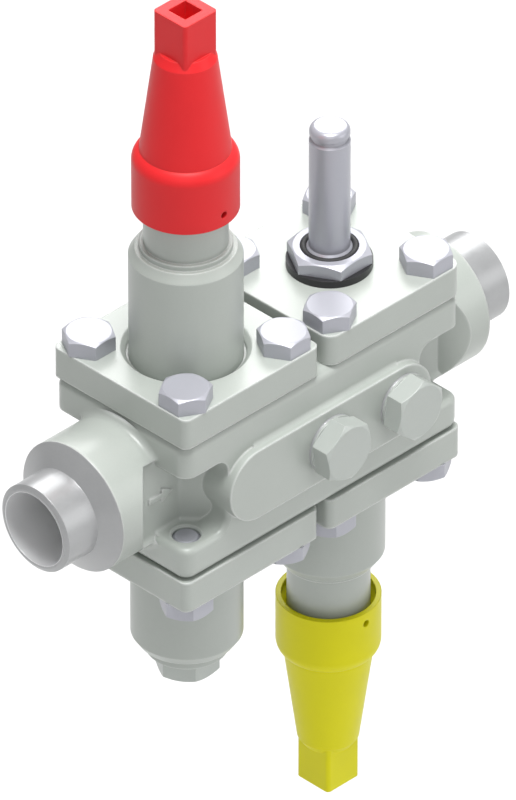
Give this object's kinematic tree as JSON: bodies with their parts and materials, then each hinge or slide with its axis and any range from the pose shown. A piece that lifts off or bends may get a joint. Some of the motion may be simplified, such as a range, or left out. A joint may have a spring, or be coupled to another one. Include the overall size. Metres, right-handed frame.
{
  "type": "refrigeration valve station",
  "caption": "Valve station for a refrigeration liquid line: a forged housing in a pipe, with bolted stop, filter, solenoid and regulating modules above and below.",
  "frame": {"origin": "centre of the inlet's weld end, on the pipe axis", "axes": "+X along the pipe with the flow, +Y to the side away from the two hexagon plugs, +Z along the stop valve's spindle to its red cap"},
  "size_m": [0.2212, 0.0798, 0.3658],
  "materials": {
    "housing": "pale greenish grey, fine cast and machined surface",
    "machined_steel": "bright turned steel",
    "plated_steel": "zinc plated, slightly bluish",
    "stainless": "drawn stainless steel",
    "rubber": "black sealing rubber and graphite",
    "seal_plastic": "white sealing plastic",
    "brass": "turned brass",
    "red_cap": "red moulded plastic, satin",
    "yellow_cap": "yellow moulded plastic, satin"
  },
  "bodies": {
    "station": {"housing": "housing", "inlet_weld_neck": "machined_steel", "outlet_weld_neck": "machined_steel", "stop_flange": "housing", "stop_bonnet": "housing", "stop_gasket": "rubber", "stop_bolts": "plated_steel", "stop_seat": "machined_steel", "stop_packing": "rubber", "stop_gland": "plated_steel", "filter_flange": "housing", "filter_cup": "housing", "filter_gasket": "rubber", "filter_bolts": "plated_steel", "strainer": "machined_steel", "drain_plug": "plated_steel", "drain_washer": "machined_steel", "solenoid_flange": "housing", "solenoid_gasket": "rubber", "solenoid_bolts": "plated_steel", "solenoid_seat": "machined_steel", "piston_spring": "stainless", "armature_tube": "stainless", "tube_nut": "plated_steel", "tube_washer": "machined_steel", "coil_seal": "rubber", "armature_spring": "stainless", "regulator_flange": "housing", "regulator_bonnet": "housing", "regulator_gasket": "rubber", "regulator_bolts": "plated_steel", "regulator_seat": "machined_steel", "regulator_packing": "rubber", "regulator_gland": "plated_steel", "middle_plug": "housing", "middle_plug_washer": "machined_steel", "right_plug": "housing", "right_plug_washer": "machined_steel"},
    "red_cap_gasket": {"red_cap_gasket": "rubber"},
    "red_cap": {"red_cap": "red_cap"},
    "stop_cone": {"stop_cone": "machined_steel", "stop_cone_seal": "seal_plastic", "stop_cone_clip": "stainless"},
    "stop_spindle": {"stop_spindle": "machined_steel"},
    "yellow_cap_gasket": {"yellow_cap_gasket": "rubber"},
    "yellow_cap": {"yellow_cap": "yellow_cap"},
    "regulator_cone": {"regulator_cone": "machined_steel", "regulator_cone_seal": "seal_plastic", "regulator_cone_clip": "stainless"},
    "regulator_spindle": {"regulator_spindle": "machined_steel"},
    "armature": {"armature": "stainless"},
    "servo_piston": {"servo_piston": "brass", "piston_ring": "seal_plastic"}
  },
  "joints": [
    {"name": "red_cap_gasket_rise", "type": "slide", "parent": "station", "child": "red_cap_gasket", "axis": [0, 0, 1], "range_m": [0, 0.012]},
    {"name": "red_cap_turn", "type": "hinge", "parent": "red_cap_gasket", "child": "red_cap", "pos_m": [0.075, 0, 0.118], "axis": [0, 0, 1], "range_deg": [-5, 2895]},
    {"name": "stop_cone_slide", "type": "slide", "parent": "station", "child": "stop_cone", "axis": [0, 0, 1], "range_m": [-0.008, 0]},
    {"name": "stop_spindle_turn", "type": "hinge", "parent": "stop_cone", "child": "stop_spindle", "pos_m": [0.075, 0, 0.1], "axis": [0, 0, 1], "range_deg": [-1450, 5]},
    {"name": "yellow_cap_gasket_rise", "type": "slide", "parent": "station", "child": "yellow_cap_gasket", "axis": [0, 0, -1], "range_m": [0, 0.012]},
    {"name": "yellow_cap_turn", "type": "hinge", "parent": "yellow_cap_gasket", "child": "yellow_cap", "pos_m": [0.1462, 0, -0.118], "axis": [0, 0, -1], "range_deg": [-5, 2895]},
    {"name": "regulator_cone_slide", "type": "slide", "parent": "station", "child": "regulator_cone", "axis": [0, 0, -1], "range_m": [-0.008, 0]},
    {"name": "regulator_spindle_turn", "type": "hinge", "parent": "regulator_cone", "child": "regulator_spindle", "pos_m": [0.1462, 0, -0.1], "axis": [0, 0, -1], "range_deg": [-1450, 5]},
    {"name": "armature_lift", "type": "slide", "parent": "station", "child": "armature", "axis": [0, 0, 1], "range_m": [0, 0.005], "stiffness_N_per_m": 150, "springref_m": -0.02, "deforming": ["armature_spring"]},
    {"name": "servo_piston_lift", "type": "slide", "parent": "station", "child": "servo_piston", "axis": [0, 0, 1], "range_m": [0, 0.0041], "stiffness_N_per_m": 200, "springref_m": -0.01, "deforming": ["piston_spring"]}
  ],
  "couplings": [
    {"joint": "red_cap_turn", "follows": "red_cap_gasket_rise", "rad_per_m": 4188.8},
    {"joint": "yellow_cap_turn", "follows": "yellow_cap_gasket_rise", "rad_per_m": 4188.8},
    {"joint": "stop_spindle_turn", "follows": "stop_cone_slide", "rad_per_m": 3141.6},
    {"joint": "regulator_spindle_turn", "follows": "regulator_cone_slide", "rad_per_m": 3141.6},
    {"joint": "servo_piston_lift", "follows": "armature_lift", "ratio": 0.8}
  ]
}
